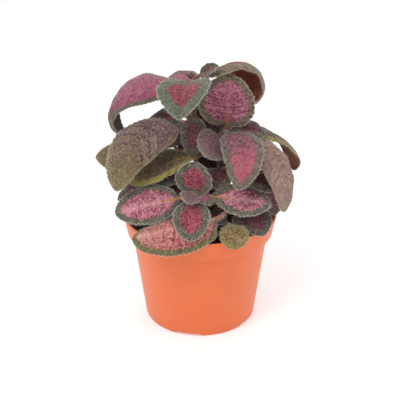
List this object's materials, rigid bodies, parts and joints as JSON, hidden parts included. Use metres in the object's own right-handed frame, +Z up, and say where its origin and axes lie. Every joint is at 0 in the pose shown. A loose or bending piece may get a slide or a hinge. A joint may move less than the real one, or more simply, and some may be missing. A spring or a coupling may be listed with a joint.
{
  "type": "potted flame violet",
  "caption": "Leafy flame violet with broad velvety toothed leaves, growing in a round tapered nursery pot filled with soil.",
  "frame": {"origin": "centre of the pot's flat underside, on the surface that the pot stands on", "axes": "+Z up along the pot's axis; the plant's front, with the leaf that hangs over the rim, faces -Y, and +X is to its right"},
  "size_m": [0.1577, 0.1506, 0.2056],
  "materials": {
    "pot_plastic": "satin terracotta-orange plastic",
    "potting_soil": "dark crumbly peat soil",
    "stem": "hairy brownish stem",
    "pink_leaf": "velvety leaf, pink centre and grey-green edge",
    "bronze_leaf": "velvety leaf, purple-bronze with a grey-green edge",
    "olive_leaf": "older leaf, olive and brown"
  },
  "bodies": {
    "root": {"leaf_back_inner": "bronze_leaf", "leaf_back_left": "bronze_leaf", "leaf_back_left_low": "bronze_leaf", "leaf_back_left_middle": "bronze_leaf", "leaf_back_low": "bronze_leaf", "leaf_back_right": "bronze_leaf", "leaf_back_right_low": "bronze_leaf", "leaf_back_right_top": "pink_leaf", "leaf_back_top": "bronze_leaf", "leaf_back_upper": "bronze_leaf", "leaf_crown_back": "pink_leaf", "leaf_crown_back_right": "pink_leaf", "leaf_crown_front": "pink_leaf", "leaf_crown_left": "pink_leaf", "leaf_crown_right": "pink_leaf", "leaf_crown_tip": "pink_leaf", "leaf_front_left": "pink_leaf", "leaf_front_low": "pink_leaf", "leaf_front_right": "pink_leaf", "leaf_front_small": "bronze_leaf", "leaf_front_up": "pink_leaf", "leaf_front_young": "bronze_leaf", "leaf_left_far": "bronze_leaf", "leaf_left_large": "bronze_leaf", "leaf_left_low": "bronze_leaf", "leaf_left_olive": "olive_leaf", "leaf_middle_back": "bronze_leaf", "leaf_middle_front": "bronze_leaf", "leaf_middle_left": "bronze_leaf", "leaf_middle_low": "bronze_leaf", "leaf_middle_right": "bronze_leaf", "leaf_middle_shaded": "bronze_leaf", "leaf_middle_upper": "bronze_leaf", "leaf_right_far": "olive_leaf", "leaf_right_front": "pink_leaf", "leaf_right_hanging": "bronze_leaf", "leaf_right_inner": "bronze_leaf", "leaf_right_low": "bronze_leaf", "leaf_right_shaded": "bronze_leaf", "leaf_right_upper": "bronze_leaf", "leaf_right_upright": "pink_leaf", "leaf_rim_left": "pink_leaf", "leaf_rim_olive": "olive_leaf", "leaf_rim_right": "bronze_leaf", "leaf_rim_small": "bronze_leaf", "pot": "pot_plastic", "soil": "potting_soil", "stem_back": "stem", "stem_front": "stem", "stem_left": "stem", "stem_main": "stem", "stem_right": "stem"}
  },
  "joints": []
}
